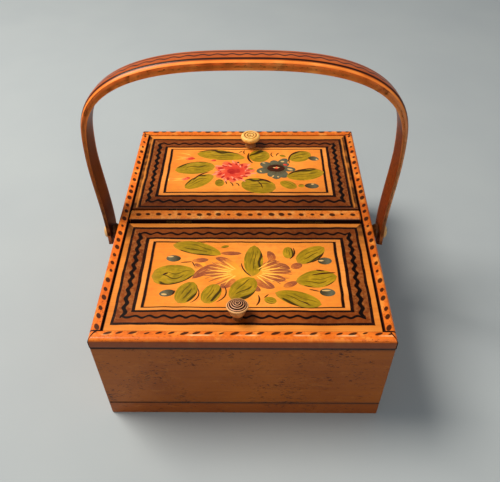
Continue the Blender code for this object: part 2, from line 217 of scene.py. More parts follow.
def varnished_board(name, along, dark, light, seam_z=()):
    """Amber varnish over grain along one axis, darker near the joints at the given heights: partly dirt,
    partly painted shade.
    """
    material, add = new_material(name)
    here, x, y, z = place_of(add)
    colour, grain = wood_tone(add, here, along, dark, light)
    specks = worn_specks(add, here, along, 0.080)
    colour = laid_over(colour, "#3A0E03", specks, 0.85)
    rubbed_wear_and_highlight = add("MapRange", stretched_noise(add, here, (7, 7, 3), 3.0), 0.60, 0.72)
    colour = laid_over(colour, "#C27A30", rubbed_wear_and_highlight, 0.25)
    # Near each joint a soft wide dark band and a narrow dark line: partly dirt, partly painted shade in the
    # gap under the top rails.
    for height in seam_z:
        off = apart(add, z, height)
        colour = laid_over(colour, "#3A1707", add("MapRange", off, 3.5 * MM, 0.3 * MM), 0.25)
        colour = laid_over(colour, "#220B04", add("MapRange", off, 0.85 * MM, 0.45 * MM), 0.9)
    bare, inside = plain_inside(add, here, x, y, z, 15.1 * MM)
    colour = laid_over(colour, bare, inside)
    rough = add("MapRange", grain, 0.2, 0.8, 0.28, 0.44)
    dents = add("Math", add("Math", grain, 0.4, operation="MULTIPLY"), specks, operation="SUBTRACT")
    finish_material(colour, rough, dents, 0.12, Coat_Weight=0.06, Coat_Roughness=0.15)
    return material


SEAM_Z, RAIL_Z = 15 * MM, 83.6 * MM            # joints at the base board and under the top rails
end_board_varnish = varnished_board("amber_varnished_deal_ends", "x", "#8E470C", "#AB5E17", (SEAM_Z, RAIL_Z))
side_board_varnish = varnished_board("amber_varnished_deal_sides", "y", "#98490F", "#B66322",
                                     (SEAM_Z, RAIL_Z))
base_varnish = varnished_board("amber_varnished_deal_base", "x", "#8C420B", "#A45616", (SEAM_Z,))
for node, finish in (("front_wall", end_board_varnish), ("rear_wall", end_board_varnish),
                     ("left_wall", side_board_varnish), ("right_wall", side_board_varnish),
                     ("base_board", base_varnish)):
    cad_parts[node].material_slots[0].material = finish


# ------------------------------------------------------------------ top rails and centre bar
# Slim mouldings glued round the top and a fixed bar across the middle, varnished bright orange,
# with a row of dark dots put on by hand with the tip of a brush.
def painted_dots(add, along, across, spacing, centre, size, slant, jitter=0.12):
    """1 on a row of hand-set dots: spacing, centre line, (length, width) and slant, in metres."""
    steps = add("Math", along, spacing, operation="DIVIDE")
    cell = add("Math", steps, operation="FLOOR")
    chance = add("TexWhiteNoise", ("W", cell), noise_dimensions="1D")
    one, two, three = add("SeparateXYZ", chance.node.outputs["Color"]).node.outputs
    offset = add("Math", one, 2 * jitter, 0.5 - jitter, operation="MULTIPLY_ADD")
    local = add("Math", add("Math", steps, operation="FRACT"), offset, operation="SUBTRACT")
    local = add("Math", local, spacing, operation="MULTIPLY")
    drift = add("Math", two, 1.0 * MM, centre - 0.5 * MM, operation="MULTIPLY_ADD")
    side = add("Math", across, drift, operation="SUBTRACT")
    side = add("Math", side, add("Math", local, slant, operation="MULTIPLY"), operation="SUBTRACT")
    swell = add("Math", three, 0.55, 0.70, operation="MULTIPLY_ADD")
    long_part = add("Math", local, add("Math", swell, size[0] / 2, operation="MULTIPLY"), operation="DIVIDE")
    wide_part = add("Math", side, add("Math", swell, size[1] / 2, operation="MULTIPLY"), operation="DIVIDE")
    squares = [add("Math", add("Math", part, operation="ABSOLUTE"), 2.0, operation="POWER")
               for part in (long_part, wide_part)]
    reach = add("Math", add("Math", *squares, operation="ADD"), operation="SQRT")
    return add("MapRange", reach, 1.15, 0.85)


def dark_joints_and_gap_shade(add, x, y, z, name):
    """Dark lines at the joints, partly dirt and partly painted shade in the gaps: beside the lids, in the
    corner mitres, under the rails, or down the sides of the bar.
    """
    ax, ay = add("Math", x, operation="ABSOLUTE"), add("Math", y, operation="ABSOLUTE")
    if "bar" in name:
        beside_bar = add("MapRange", ay, 4.7 * MM, 5.3 * MM)
        return [add("Math", beside_bar, add("MapRange", z, 93.4 * MM, 93.0 * MM), operation="MULTIPLY")]
    past_lid = add("MapRange", ay, 113.6 * MM, 113.9 * MM)
    mitre = add("Math", ay, 113.9 * MM, operation="SUBTRACT")
    mitre = add("Math", mitre, 4.2 / 7.6, 95.8 * MM, operation="MULTIPLY_ADD")
    off_mitre = apart(add, ax, mitre)
    found = [add("Math", add("MapRange", off_mitre, 0.65 * MM, 0.35 * MM), past_lid, operation="MULTIPLY")]
    by_square = add("MapRange", apart(add, ay, 113.9 * MM), 0.75 * MM, 0.45 * MM)
    outside = add("MapRange", ax, 92.2 * MM, 92.5 * MM)
    found.append(add("Math", by_square, outside, operation="MULTIPLY"))
    found.append(add("MapRange", z, 85.2 * MM, 84.8 * MM))
    if "side" in name:
        found.append(add("MapRange", ax, 93.3 * MM, 92.9 * MM))
    return found


def dotted_rail(name, along, tones, rows, top_z=91.5):
    """Rail material: rows are (spacing, centre, size, slant) of dots laid above the height top_z."""
    material, add = new_material(name)
    here, x, y, z = place_of(add)
    colour, grain = wood_tone(add, here, along, *tones[:2])
    patches = stretched_noise(add, here, (9, 9, 9), 3.0)
    colour = laid_over(colour, tones[2], add("MapRange", patches, 0.52, 0.75))
    mottle = add("MapRange", stretched_noise(add, here, (2.6, 2.6, 2.6), 3.0, 0.6), 0.48, 0.66)
    colour = laid_over(colour, "#AC4614", mottle, 0.42)
    specks = worn_specks(add, here, along, 0.04)
    colour = laid_over(colour, "#6A2A10", specks, 0.7)
    run, cross = (y, add("Math", x, operation="ABSOLUTE")) if along == "y" else (x, y)
    top = add("MapRange", z, top_z * MM, (top_z + 0.6) * MM)
    for spacing, centre, size, slant in rows:
        dots = painted_dots(add, run, cross, spacing, centre, size, slant)
        dots = add("Math", dots, top, operation="MULTIPLY")
        colour = laid_over(colour, "#230B06", dots, 0.93)
    # The rails' lower faces are laid over with dark brown as painted shade.
    face_in_painted_shade = add("MapRange", z, 0.0918, 0.0905)
    colour = laid_over(colour, "#74381A", face_in_painted_shade, 0.85)
    if "front" in name:
        off = apart(add, y, -117.3 * MM)
        worn = add("MapRange", off, 0.75 * MM, 0.30 * MM)
        broken = add("MapRange", stretched_noise(add, here, (14, 14, 14), 3.0), 0.46, 0.60)
        colour = laid_over(colour, "#FBC98F", worn, broken, 0.7)
    # Dark lines in the joints and gaps: partly dirt, partly painted shade.
    for joint_and_gap_shade in dark_joints_and_gap_shade(add, x, y, z, name):
        colour = laid_over(colour, "#2A0F07", joint_and_gap_shade)
    finish_material(colour, 0.30, grain, 0.10, Coat_Weight=0.08, Coat_Roughness=0.12)
    return material


# The bar's tones are a lighter copy of the rails' tones: painted light.
RAIL_TONES, BAR_TONES_PAINTED_LIGHTER = ("#D2641A", "#F07F28", "#F8A247"), ("#E07524", "#F8933A", "#FFB964")
side_rail_varnish = dotted_rail("orange_varnished_side_rail", "y", RAIL_TONES,
                                [(8.2 * MM, 96.0 * MM, (4.3 * MM, 2.9 * MM), 0.35)])
front_rail_varnish = dotted_rail("orange_varnished_front_rail", "x", RAIL_TONES,
                                 [(8.37 * MM, -115.6 * MM, (5.0 * MM, 1.9 * MM), 0.28)])
rear_rail_varnish = dotted_rail("orange_varnished_rear_rail", "x", RAIL_TONES,
                                [(8.3 * MM, 119.0 * MM, (5.0 * MM, 2.8 * MM), 0.0)], 88.5)
bar_varnish = dotted_rail("orange_varnished_bar", "x", BAR_TONES_PAINTED_LIGHTER,
                          [(8.12 * MM, -0.3 * MM, (3.9 * MM, 3.1 * MM), -0.1)])
for node, finish in (("left_top_rail", side_rail_varnish), ("right_top_rail", side_rail_varnish),
                     ("front_lid_rail", front_rail_varnish), ("rear_lid_rail", rear_rail_varnish),
                     ("centre_bar", bar_varnish)):
    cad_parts[node].material_slots[0].material = finish


# ------------------------------------------------------------------ partition, bearers and lift-out trays
# Thin planed limewood, glued, left bare: pale, dry and matt, with a little grey from use on the floors.
def bare_board(name, along, dark, light):
    """Unvarnished wood with grain along one axis, greyed in patches by handling."""
    material, add = new_material(name)
    here = add("TexCoord").node.outputs["Object"]
    colour, grain = wood_tone(add, here, along, dark, light)
    grime = add("MapRange", stretched_noise(add, here, (26, 26, 26), 3.0), 0.55, 0.80)
    colour = laid_over(colour, "#6B5236", grime, 0.35)
    finish_material(colour, 0.68, grain, 0.08)
    return material


bare_across = bare_board("planed_limewood_across", "x", "#A87B49", "#CFA56D")
bare_along = bare_board("planed_limewood_along", "y", "#A0743F", "#C99E66")
for node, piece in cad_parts.items():
    if "_tray_" in node or node == "centre_partition":
        runs_along = any(word in node for word in ("left_side", "right_side", "grip_divider", "bearer"))
        piece.material_slots[0].material = bare_along if runs_along else bare_across


# ------------------------------------------------------------------ butt hinges
# Small folded brass butts let into the lids and the bar, tarnished brown and painted near-black as shade in
# the gap.
brass_tarnished_and_painted_dark, add = new_material("drawn_brass_tarnished_and_painted_dark_as_shade")
here = add("TexCoord").node.outputs["Object"]
tarnish = stretched_noise(add, here, (2.5, 2.5, 2.5), 3.0)
colour = add("ValToRGB", tarnish, stops=[(0.35, "#180C05"), (0.75, "#40290F")])
finish_material(colour, 0.42, tarnish, 0.03, Metallic=1.0)
for node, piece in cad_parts.items():
    if node.endswith(("_leaf", "_hinge_pin")):
        piece.material_slots[0].material = brass_tarnished_and_painted_dark


# ------------------------------------------------------------------ lid boards
# Thin boards painted by hand in oil under varnish: an orange panel inside a dark line, a light band,
# a brown band with a wavy line along its middle, and a dark line round an orange edge.
WAVE_ROW, WAVE_SIDE = 10.0 * MM, 8.0 * MM      # length of one wave along the rows and down the sides
PANEL_X, SIDE_BAND = 66.5 * MM, 25.4 * MM      # panel's half width, and from there to the lid's edge


def painted_lid(end, side, near_edge, near_band, far_edge, far_band):
    """The painted face: the panel's two edges, from the middle of the box, and the widths past them."""
    name = f"oil_painted_{end}_lid"
    material, add = new_material(name)
    here, x, y, z = place_of(add)
    wobble = stretched_noise(add, here, (16, 16, 16), 2.0)
    sway = add("Math", wobble, 1.6 * MM, -0.8 * MM, operation="MULTIPLY_ADD")
    ax = add("Math", add("Math", x, operation="ABSOLUTE"), sway, operation="ADD")
    out = add("Math", add("Math", y, float(side), operation="MULTIPLY"), sway, operation="ADD")
    across = add("Math", add("Math", ax, PANEL_X, operation="SUBTRACT"), SIDE_BAND, operation="DIVIDE")
    across = add("Math", add("Math", across, 0.0, operation="MAXIMUM"), 1.25, operation="POWER")
    far = add("Math", add("Math", out, far_edge, operation="SUBTRACT"), far_band, operation="DIVIDE")
    far = add("Math", add("Math", far, 0.0, operation="MAXIMUM"), 0.92, operation="POWER")
    near = add("Math", add("Math", near_edge, out, operation="SUBTRACT"), near_band, operation="DIVIDE")
    rows = add("Math", near, far, operation="MAXIMUM")
    level = add("Math", rows, across, operation="MAXIMUM")
    on_side = add("Math", across, rows, operation="GREATER_THAN")

    grain = stretched_noise(add, here, (50, 1.8, 1.8), 4.0, 0.6)
    cloud = stretched_noise(add, here, (30, 30, 30), 2.0)
    tone = add("Math", cloud, 0.6, add("Math", grain, 0.4, operation="MULTIPLY"), operation="MULTIPLY_ADD")
    ground = add("ValToRGB", tone, stops=[(0.32, "#E6872C"), (0.52, "#F59A3A"), (0.70, "#FBA848")])
    toward_ends = add("MapRange", add("Math", x, operation="ABSOLUTE"), 35 * MM, 70 * MM)
    ground = laid_over(ground, "#D47625", toward_ends, 0.55)
    blush = add("MapRange", stretched_noise(add, here, (6, 4, 4), 4.0, 0.7), 0.47, 0.68)
    ground = laid_over(ground, "#DD6E34", blush, 0.42)
    strip = add("ValToRGB", tone, stops=[(0.30, "#C77024"), (0.70, "#EB943D")])
    light_band = add("ValToRGB", tone, stops=[(0.30, "#D47A2C"), (0.70, "#F2A04C")])
    brown = add("ValToRGB", tone, stops=[(0.30, "#5A260A"), (0.50, "#78380F"), (0.70, "#924918")])
    fleck = add("MapRange", stretched_noise(add, here, (2.4, 2.4, 2.4), 3.0, 0.6), 0.42, 0.68)
    brown = laid_over(brown, "#B4743C", fleck, add("Math", on_side, 0.38, 0.15, operation="MULTIPLY_ADD"))
    thin_black = stretched_noise(add, here, (4, 4, 4), 2.0)
    dark = add("ValToRGB", thin_black, stops=[(0.35, "#0F0402"), (0.75, "#2C0F06")])

    colour = ground
    for start, paint in ((0.004, dark), (0.058, light_band), (0.164, dark), (0.254, brown), (0.685, dark),
                         (0.778, strip)):
        colour = laid_over(colour, paint, add("MapRange", level, start, start + 0.012))

    angle_row = add("Math", sway, 3.0, x, operation="MULTIPLY_ADD")
    angle_row = add("Math", angle_row, 2 * math.pi / WAVE_ROW, operation="MULTIPLY")
    angle_side = add("Math", y, 2 * math.pi / WAVE_SIDE, operation="MULTIPLY")
    swing_row = add("Math", add("Math", angle_row, operation="SINE"), 0.042, operation="MULTIPLY")
    swing_side = add("Math", add("Math", angle_side, operation="SINE"), 0.034, operation="MULTIPLY")
    swing = add("Mix", on_side, swing_row, swing_side)
    off_line = apart(add, level, add("Math", swing, 0.46, operation="ADD"))
    thick = add("Math", on_side, 0.018, 0.044, operation="MULTIPLY_ADD")
    wave = add("MapRange", add("Math", off_line, thick, operation="DIVIDE"), 1.25, 0.85)
    colour = laid_over(colour, "#0F0402", wave)

    # The side strips are laid over with dark brown, broken by noise and strongest toward the bar: painted
    # shade where the rails stand above the lid.
    in_strip = add("Math", on_side, add("MapRange", level, 0.778, 0.790), operation="MULTIPLY")
    shade_breakup = add("MapRange", stretched_noise(add, here, (9, 9, 9), 3.0), 0.38, 0.58)
    toward_bar = add("MapRange", y, -50 * MM, -12 * MM)
    shade_strength = add("Math", shade_breakup, 0.45, 0.45, operation="MULTIPLY_ADD")
    colour = laid_over(colour, "#2C1206", in_strip, toward_bar, shade_strength)
    if side > 0:
        worn = add("MapRange", apart(add, level, 0.835), 0.035, 0.018)
        colour = laid_over(colour, "#E2903F", worn, in_strip, 0.65)
        # A dark line at the rear lid's far edge: painted shade in the gap to the rear rail.
        colour = laid_over(colour, dark, add("MapRange", y, 113.0 * MM, 113.4 * MM))
    # Dark lines at the lid's ends: painted shade in the gaps to the side rails.
    rim = add("Math", x, operation="ABSOLUTE")
    colour = laid_over(colour, dark, add("MapRange", rim, 90.9 * MM, 91.3 * MM))
    # Along the hinge edge, near-black on the front lid and brown on the rear lid: painted shade by the bar.
    by_hinge = add("Math", y, float(side), operation="MULTIPLY")
    colour = laid_over(colour, dark if side < 0 else "#7A3C14", add("MapRange", by_hinge, 9.9 * MM, 9.6 * MM))
    crazing = add("MapRange", stretched_noise(add, here, (1.4, 1.4, 1.4), 2.0, 0.7), 0.70, 0.76)
    colour = laid_over(colour, "#B3541C", crazing, 0.45)
    under, _ = wood_tone(add, here, "x", "#A0743F", "#C99E66")
    colour = laid_over(colour, under, add("MapRange", z, 86.4 * MM, 86.3 * MM))
    finish_material(colour, 0.30, grain, 0.06, Coat_Weight=0.06, Coat_Roughness=0.15)
    return material


for end, side, edges in (("front", -1, (31.2 * MM, 22.3 * MM, 92.9 * MM, 20.3 * MM)),
                         ("rear", 1, (30.2 * MM, 26.8 * MM, 90.9 * MM, 22.5 * MM))):
    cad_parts[f"{end}_lid_board"].material_slots[0].material = painted_lid(end, side, *edges)


# ------------------------------------------------------------------ painted leaves and flowers
# Thick oil paint laid on with a round brush, one stroke to a leaf or petal, then fine dark lines and
# pale touches over them. Each stroke is a thin raised film that follows the brush's path.
LID_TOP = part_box("front_lid_board")[1].z
PAINT_COAT = {"Coat_Weight": 0.05, "Coat_Roughness": 0.15}


def brush_stroke(x0, y0, x1, y1, width, bend=0.0, tip=0.62, full=1.0, lift=0.05, cells=(16, 6)):
    """One stroke in millimetres from (x0, y0) to (x1, y1): width, sideways bend of its middle, tip (0.5 is
    round, 1 is pointed), full (under 1 puts the widest place nearer the start) and the lift of the paint."""
    bpy.ops.mesh.primitive_grid_add(x_subdivisions=cells[0], y_subdivisions=cells[1], size=1.0)
    stroke = bpy.context.object
    start, end = Vector((x0, y0)), Vector((x1, y1))
    run = end - start
    left = Vector((-run.y, run.x)).normalized()
    for vertex in stroke.data.vertices:
        a, b = vertex.co.x + 0.5, 2 * vertex.co.y
        middle = start + run * a + left * (bend * 4 * a * (1 - a))
        slope = (run + left * (bend * 4 * (1 - 2 * a))).normalized()
        half = 0.5 * width * max(math.sin(math.pi * a ** full), 0.0) ** tip + 0.05
        spot = middle + Vector((-slope.y, slope.x)) * (b * half)
        crown = lift * (1 - 0.6 * b * b)
        vertex.co = (spot.x * MM, spot.y * MM, LID_TOP + crown * MM)
    return stroke


def painted_group(name, material, body, strokes, first_lift):
    """Joins strokes into one piece, gives the film its thickness and lets it ride with its lid."""
    made = []
    for k, stroke in enumerate(strokes):
        places, options = stroke[:5], (stroke[5] if len(stroke) > 5 else {})
        made.append(brush_stroke(*places, lift=first_lift + 0.012 * (k % 4), **options))
    bpy.ops.object.select_all(action="DESELECT")
    for stroke in made:
        stroke.select_set(True)
    bpy.context.view_layer.objects.active = made[0]
    bpy.ops.object.join()
    piece = bpy.context.object
    bpy.ops.object.transform_apply(location=True, rotation=True, scale=True)
    film = piece.modifiers.new("film", "SOLIDIFY")
    film.thickness = 0.10 * MM
    film.offset = -1.0
    bpy.ops.object.modifier_apply(modifier="film")
    bpy.ops.object.shade_smooth_by_angle(angle=math.radians(40))
    piece.name = name
    piece.data.materials.append(material)
    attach(piece, body)
    piece.select_set(False)
    return piece


def along_stroke(add):
    """Places along and across a stroke, each from 0 to 1, streaks that follow the brush, and blotches."""
    spot = add("TexCoord").node.outputs["UV"]
    a, b, _ = add("SeparateXYZ", spot).node.outputs
    here = add("TexCoord").node.outputs["Object"]
    blotch = stretched_noise(add, here, (8, 8, 8), 3.0)
    drag = add("Mapping", spot, ("Scale", (1.6, 11.0, 1.0)))
    shift = add("VectorMath", drag, add("Math", blotch, 3.0, operation="MULTIPLY"), operation="ADD")
    streak = add("TexNoise", shift, ("Scale", 1.0), ("Detail", 3.0))
    return a, b, streak, blotch


def near_curve(add, a, b, low, rise, half, start, end):
    """1 along a line across the stroke at low + rise * sin(pi a), between two places along it."""
    arch = add("Math", add("Math", a, math.pi, operation="MULTIPLY"), operation="SINE")
    bow = add("Math", arch, rise, low, operation="MULTIPLY_ADD")
    gap = apart(add, b, bow)
    line = add("MapRange", gap, half * 1.3, half * 0.7)
    for place, inner in ((start, start + 0.06), (end, end - 0.06)):
        line = add("Math", line, add("MapRange", a, place, inner), operation="MULTIPLY")
    return line


# Leaves: olive green over the orange, browner where thin, with dark lines down one edge and the veins.
leaf_paint, add = new_material("olive_green_oil_paint")
a, b, streak, blotch = along_stroke(add)
tone = add("Math", streak, 0.5, add("Math", blotch, 0.5, operation="MULTIPLY"), operation="MULTIPLY_ADD")
colour = add("ValToRGB", tone, stops=[(0.30, "#75620D"), (0.45, "#927913"), (0.58, "#AE8C18"),
                                      (0.72, "#C69C22")])
thin = add("MapRange", a, 0.16, 0.0)
uneven = stretched_noise(add, add("TexCoord").node.outputs["Object"], (15, 15, 15), 0.0)
b = add("Math", b, add("Math", uneven, 0.70, -0.35, operation="MULTIPLY_ADD"), operation="ADD")
colour = laid_over(colour, "#B98B2C", thin, 0.55)
for *curve, strength in (
    (0.02, 0.02, 0.070, 0.15, 0.95, 0.95), (0.56, -0.20, 0.026, 0.20, 0.75, 0.80),
    (0.72, -0.14, 0.020, 0.35, 0.92, 0.70), (0.40, -0.18, 0.018, 0.45, 0.85, 0.55),
):
    colour = laid_over(colour, "#33260B", near_curve(add, a, b, *curve), strength)
glint = near_curve(add, a, b, 0.36, -0.14, 0.030, 0.30, 0.75)
colour = laid_over(colour, "#C8A83C", glint, 0.35)
finish_material(colour, 0.36, streak, 0.05, **PAINT_COAT)

ROUND, OVAL, POINTED = {"tip": 0.45}, {"tip": 0.55}, {"tip": 0.8}
painted_group("front_painted_leaves", leaf_paint, "front_lid", [
    (-54, -33.5, -17, -43.5, 13, {"tip": 0.6, "bend": 1.5, "full": 0.9}),
    (-66, -65.5, -35, -60.5, 19, {"tip": 0.5, "bend": -0.5, "full": 0.8}),
    (-44.5, -90, -35, -71, 14.5, {"tip": 0.5}),
    (-26.5, -90, -18, -73, 13, {"tip": 0.45}),
    (32.3, -47.5, 33, -35.5, 8, ROUND),
    (39, -51.5, 60, -36, 13.5, {"tip": 0.5, "full": 0.9, "bend": 0.5}),
    (37, -70, 66.5, -65, 16.5, {"tip": 0.58, "full": 1.1}),
    (22, -80.5, 53.5, -91, 13, {"tip": 0.52, "full": 1.1}),
    (14.5, -86, 23, -88.5, 6, ROUND),
    (-17.5, -36, -11.5, -34.5, 2.6, OVAL),
], 0.04)
painted_group("rear_painted_leaves", leaf_paint, "rear_lid", [
    (-1, 77.5, -45, 84.5, 15, {"tip": 0.5, "bend": -1.5, "full": 1.2}),
    (-27.5, 65, -62.5, 59.5, 17.5, {"tip": 0.52, "bend": -1.0, "full": 0.9}),
    (-28.5, 53, -51.5, 35, 14, {"tip": 0.5}),
    (-18.5, 42.5, -26.5, 41.5, 9.5, ROUND),
    (25.5, 34.5, -4, 42, 20, {"tip": 0.45}),
    (20.5, 85, 3, 77, 18, {"tip": 0.45}),
    (58, 85.5, 38.5, 75.5, 15.5, {"tip": 0.5}),
    (68, 57.5, 35, 51, 16, {"tip": 0.55, "bend": 0.5}),
    (43, 35.5, 29.5, 43.5, 9.5, {"tip": 0.5}),
    (50, 38, 44.5, 38.2, 4, ROUND),
    (35.5, 80, 29.8, 82.3, 3, OVAL),
    (1, 62.5, 6.5, 61.5, 2.6, OVAL),
], 0.04)

# Front flower: chrome yellow dragged outwards from the heart, then mauve brown over the petals' ends.
yellow_paint, add = new_material("chrome_yellow_oil_paint")
a, b, streak, blotch = along_stroke(add)
reach = add("Math", a, add("Math", streak, 1.0, -0.5, operation="MULTIPLY_ADD"), operation="ADD")
colour = add("ValToRGB", reach, stops=[(0.10, "#F2A636"), (0.45, "#E99C30"), (0.75, "#DD8A31"),
                                       (0.95, "#C97634")])
finish_material(colour, 0.40, streak, 0.05, **PAINT_COAT)
mauve_paint, add = new_material("mauve_brown_oil_paint")
a, b, streak, blotch = along_stroke(add)
reach = add("Math", a, add("Math", blotch, 1.4, -0.7, operation="MULTIPLY_ADD"), operation="ADD")
colour = add("ValToRGB", reach, stops=[(0.10, "#C4702F"), (0.40, "#A85A2E"), (0.65, "#924B2E"),
                                       (0.90, "#8A4B2E")])
hair = add("MapRange", streak, 0.54, 0.62)
colour = laid_over(colour, "#DC8F48", hair, 0.60)
finish_material(colour, 0.40, streak, 0.05, **PAINT_COAT)
hair_paint, add = new_material("pale_chrome_yellow_hair_lines")
a, b, streak, blotch = along_stroke(add)
finish_material(add("ValToRGB", a, stops=[(0.10, "#FFCB5A"), (0.60, "#F8B54A"), (0.95, "#DD8C3C")]), 0.40)
HEART = (-1.5, -61.5)
painted_group("front_flower_yellow", yellow_paint, "front_lid", [
    (*HEART, tip_x, tip_y, wide, {"tip": 0.6, "full": 1.2}) for tip_x, tip_y, wide in (
        (-24, -66, 6), (-26, -57.5, 6.5), (-22, -52, 6), (-14, -48, 6), (-8, -71, 6), (12, -49, 5.5),
        (21, -53, 6),
        (26, -59, 6.5), (25, -66, 6.5), (18, -72, 6.5), (9, -75, 6), (-16, -72, 5.5), (-12, -64, 6),
    )
] + [(-28, -53, -36, -57, 5, OVAL)], 0.01)
painted_group("front_flower_mauve", mauve_paint, "front_lid", [
    (-9, -51, -21, -47, 5, OVAL), (-13, -54, -36.5, -67.5, 8, {"bend": -2.4}),
    (-12, -62, -28, -62, 4.6, OVAL),
    (-6, -68, -16, -76, 7, OVAL), (-17.5, -42.2, -2, -42.4, 4.0, OVAL), (-38, -50, -26, -49, 4.4, OVAL),
    (17, -55, 33.5, -58, 7.5, {"bend": 1.2}), (17, -60.5, 34.5, -61, 3.8, {"bend": 0.6}),
    (13, -65, 30, -68.5, 7.0, OVAL),
    (20, -52, 17.5, -40, 6.0, {"bend": -1.5}), (13, -54.5, 24, -49.5, 3.6, OVAL),
    (34, -56.5, 42.5, -53.5, 6.0, OVAL),
    (7, -69, 22, -76, 7, OVAL), (4, -73, 12, -79, 5, OVAL), (28, -75, 38, -70.5, 5.0, OVAL),
    (-30, -56.5, -36, -53, 3.0, OVAL),
], 0.04)
painted_group("front_flower_hair_lines", hair_paint, "front_lid", [
    (hub + 7 * math.cos(turn), -61.5 + 3.5 * math.sin(turn), hub + long * math.cos(turn),
     -61.5 + 14.5 * math.sin(turn),
     0.9, {"tip": 0.5, "bend": 1.3 * math.sin(2.1 * k), "cells": (14, 3)})
    for hub, first, last, long in ((-2.0, 122, 244, 26), (6.0, -62, 62, 26))
    for k, turn in enumerate(math.radians(first + (last - first) * k / 11) for k in range(12))
], 0.085)
painted_group("front_flower_shadow_lines", mauve_paint, "front_lid", [
    (hub + 13 * math.cos(turn), -61.5 + 7 * math.sin(turn), hub + long * math.cos(turn),
     -61.5 + 16 * math.sin(turn),
     0.8, {"tip": 0.5, "bend": 1.1 * math.sin(1.7 * k), "cells": (14, 3)})
    for hub, first, last, long in ((-2.0, 128, 240, 28), (6.0, -58, 58, 29))
    for k, turn in enumerate(math.radians(first + (last - first) * k / 9) for k in range(10))
], 0.075)
painted_group("front_leaves_over_flower", leaf_paint, "front_lid", [
    (-8, -87, 7.5, -67, 17, {"tip": 0.5}),
    (6.5, -65, 7.5, -34, 14, {"tip": 0.55, "full": 0.95}),
], 0.11)

# Rear flower: pink, crimson at the heart, the petals broken up with paler touches.
pink_paint, add = new_material("pink_oil_paint")
a, b, streak, blotch = along_stroke(add)
reach = add("Math", a, add("Math", streak, 0.8, -0.40, operation="MULTIPLY_ADD"), operation="ADD")
colour = add("ValToRGB", reach, stops=[(0.10, "#C53327"), (0.45, "#D8442F"), (0.75, "#E2593A"),
                                       (0.95, "#E87248")])
touch = add("MapRange", blotch, 0.56, 0.66)
colour = laid_over(colour, "#F0936A", touch, 0.5)
finish_material(colour, 0.38, streak, 0.05, **PAINT_COAT)
PINK_HEART = (-10.8, 58.5)
painted_group("rear_pink_flower", pink_paint, "rear_lid", [
    (*PINK_HEART, tip_x, tip_y, wide, {"tip": 0.5, "full": 1.4}) for tip_x, tip_y, wide in (
        (-28.5, 54.5, 7), (-27.5, 64.5, 7.5), (-20, 72.5, 8), (-9, 73, 8), (1.5, 69.5, 7.5), (8, 60, 6.5),
        (3.5, 53, 7), (-4, 45.5, 8), (-11.5, 42.5, 8), (-18.5, 45.5, 7.5), (-26, 50, 7), (-22, 59.5, 7),
    )
] + [
    (-46, 77, -57.5, 78, 5, POINTED), (-48, 49, -56.5, 46.8, 4.5, POINTED), (-27, 74.5, -32, 74, 2.6, OVAL),
    (36.5, 67, 31, 69.5, 3.0, OVAL),
], 0.02)
pale_pink_paint, add = new_material("pale_pink_oil_paint")
a, b, streak, blotch = along_stroke(add)
finish_material(add("ValToRGB", streak, stops=[(0.35, "#E9785A"), (0.65, "#F6A183")]), 0.40)
painted_group("rear_pale_pink_touches", pale_pink_paint, "rear_lid", [
    (-10.5 + far * 0.68 * math.cos(turn), 58 + far * 0.56 * math.sin(turn),
     -10.5 + far * math.cos(turn + 0.18),
     58 + far * 0.80 * math.sin(turn + 0.18), 1.7, {"tip": 0.55, "bend": 0.7})
    for turn, far in [(math.radians(17 * k), 13.5 + 3.5 * (k % 3)) for k in range(21)]
], 0.06)
painted_group("rear_bud_curls", hair_paint, "rear_lid", [
    (-50, 79.5, -65, 81.5, 0.9, {"bend": 1.4}), (-52, 76.5, -66, 74, 0.9, {"bend": -1.2}),
    (-50, 82, -62, 85, 0.8, {"bend": -1}),
    (-51, 50, -66, 48.5, 0.9, {"bend": 1.5}), (-54, 45.5, -65, 43, 0.9, {"bend": -1.5}),
    (-66, 48.5, -65, 43, 0.8, {"bend": -1}),
], 0.06)
crimson_paint, add = new_material("crimson_lake_oil_paint")
a, b, streak, blotch = along_stroke(add)
colour = add("ValToRGB", blotch, stops=[(0.35, "#A01A18"), (0.55, "#BC2F26"), (0.70, "#D8583C")])
finish_material(colour, 0.40, streak, 0.05, **PAINT_COAT)
painted_group("rear_crimson_touches", crimson_paint, "rear_lid", [
    (-17, 58.6, -5, 58.4, 9, ROUND),
] + [
    (-11 + 11 * math.cos(turn), 58 + 9.5 * math.sin(turn), -11 + 15.5 * math.cos(turn + 0.2),
     58 + 13 * math.sin(turn + 0.2), 2.6,
     {**OVAL, "bend": 0.8}) for turn in [math.radians(24 * k) for k in range(15)]
], 0.07)

# Rear blue flower and the buds: slate blue greyed by the varnish, near-black at the heart.
blue_paint, add = new_material("slate_blue_oil_paint")
a, b, streak, blotch = along_stroke(add)
tone = add("Math", add("Math", a, streak, operation="ADD"), 0.5, operation="MULTIPLY")
colour = add("ValToRGB", tone, stops=[(0.25, "#2E2B1C"), (0.45, "#554D37"), (0.62, "#646450"),
                                      (0.80, "#454C3E")])
finish_material(colour, 0.38, streak, 0.05, **PAINT_COAT)
BLUE_HEART = (26.3, 63.0)
painted_group("rear_blue_flower", blue_paint, "rear_lid", [
    (*BLUE_HEART, tip_x, tip_y, wide, {"tip": 0.42, "full": 1.3}) for tip_x, tip_y, wide in (
        (9, 57.5, 9), (12.5, 70.5, 8.5), (24, 74.5, 8), (36, 77, 8), (43.5, 60.5, 7), (35, 49.5, 9),
        (26.5, 47, 9),
        (20.5, 50.5, 8), (38, 69.5, 6),
    )
] + [(50, 38.4, 62, 37.6, 7, {"tip": 0.5}), (55.5, 78.5, 65, 76, 6.5, {"tip": 0.6})], 0.03)
painted_group("front_buds", blue_paint, "front_lid", [
    (-46.5, -48, -57.5, -47.3, 6.5, {"tip": 0.5}), (-47.5, -80, -58.5, -82, 6.2, {"tip": 0.5}),
    (54, -50.2, 64.5, -49.7, 7, {"tip": 0.5}), (53, -79.7, 64, -80.4, 7, {"tip": 0.5}),
], 0.03)

